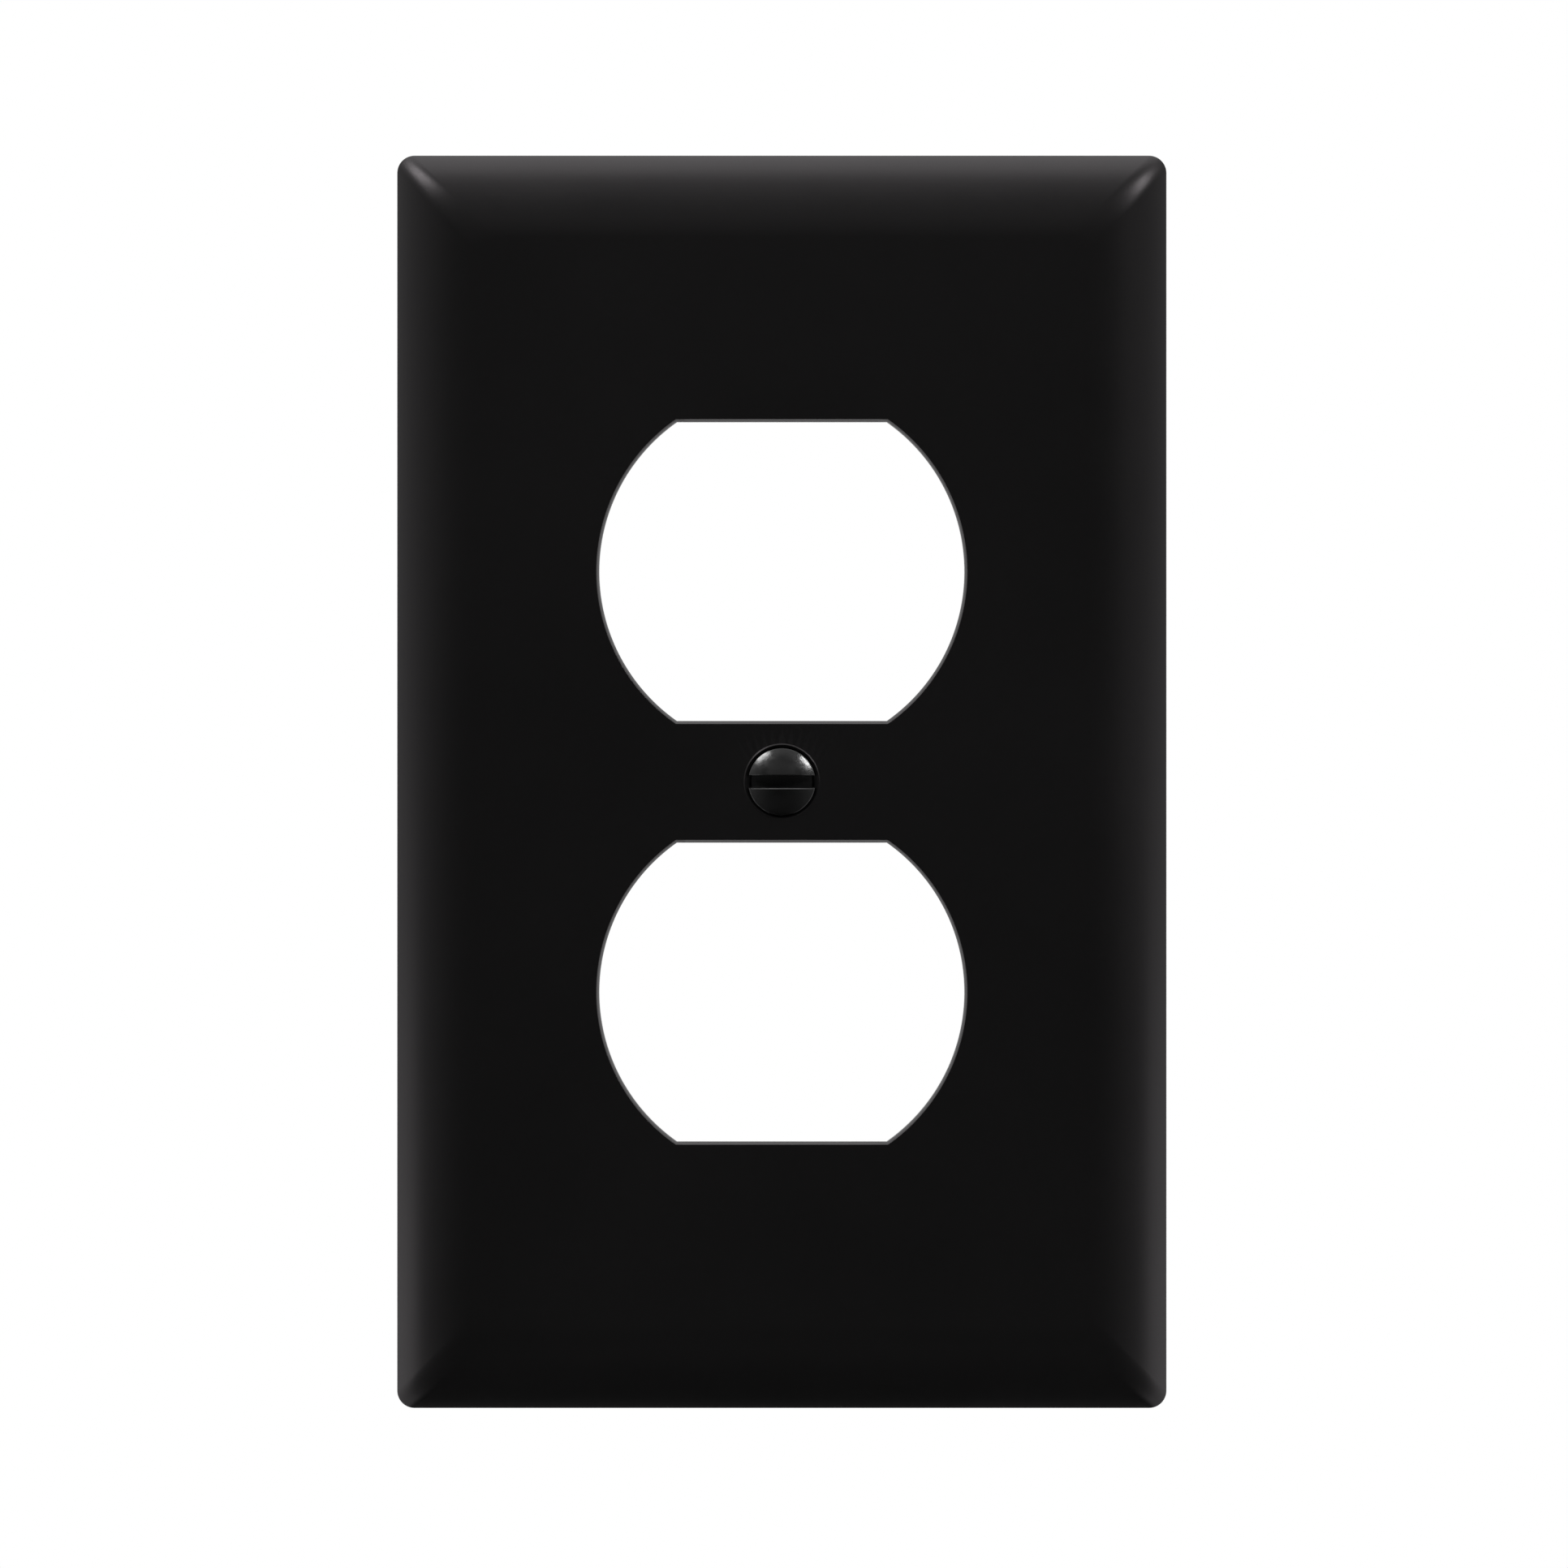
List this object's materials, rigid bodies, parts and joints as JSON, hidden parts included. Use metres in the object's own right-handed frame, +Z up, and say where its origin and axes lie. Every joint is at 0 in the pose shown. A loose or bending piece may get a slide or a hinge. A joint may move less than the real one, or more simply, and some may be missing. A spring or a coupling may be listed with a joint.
{
  "type": "duplex receptacle wall plate",
  "caption": "Black one-gang cover plate with rolled edges, two openings for a duplex receptacle and a slotted oval-head screw.",
  "frame": {"origin": "on the wall, the plate's back plane, on the screw's axis at the middle of the plate", "axes": "+Z up along the plate's height, +Y into the wall, face towards -Y, +X to the right seen from the front"},
  "size_m": [0.071, 0.0136, 0.1154],
  "materials": {
    "black_plastic": "semi-gloss moulded black",
    "black_painted_steel": "gloss black paint on steel"
  },
  "bodies": {
    "plate": {"wall_plate": "black_plastic"},
    "screw": {"plate_screw": "black_painted_steel"}
  },
  "joints": [
    {"name": "screw_turn", "type": "hinge", "parent": "plate", "child": "screw", "pos_m": [0, 0, 0], "axis": [0, 1, 0], "continuous": true}
  ]
}
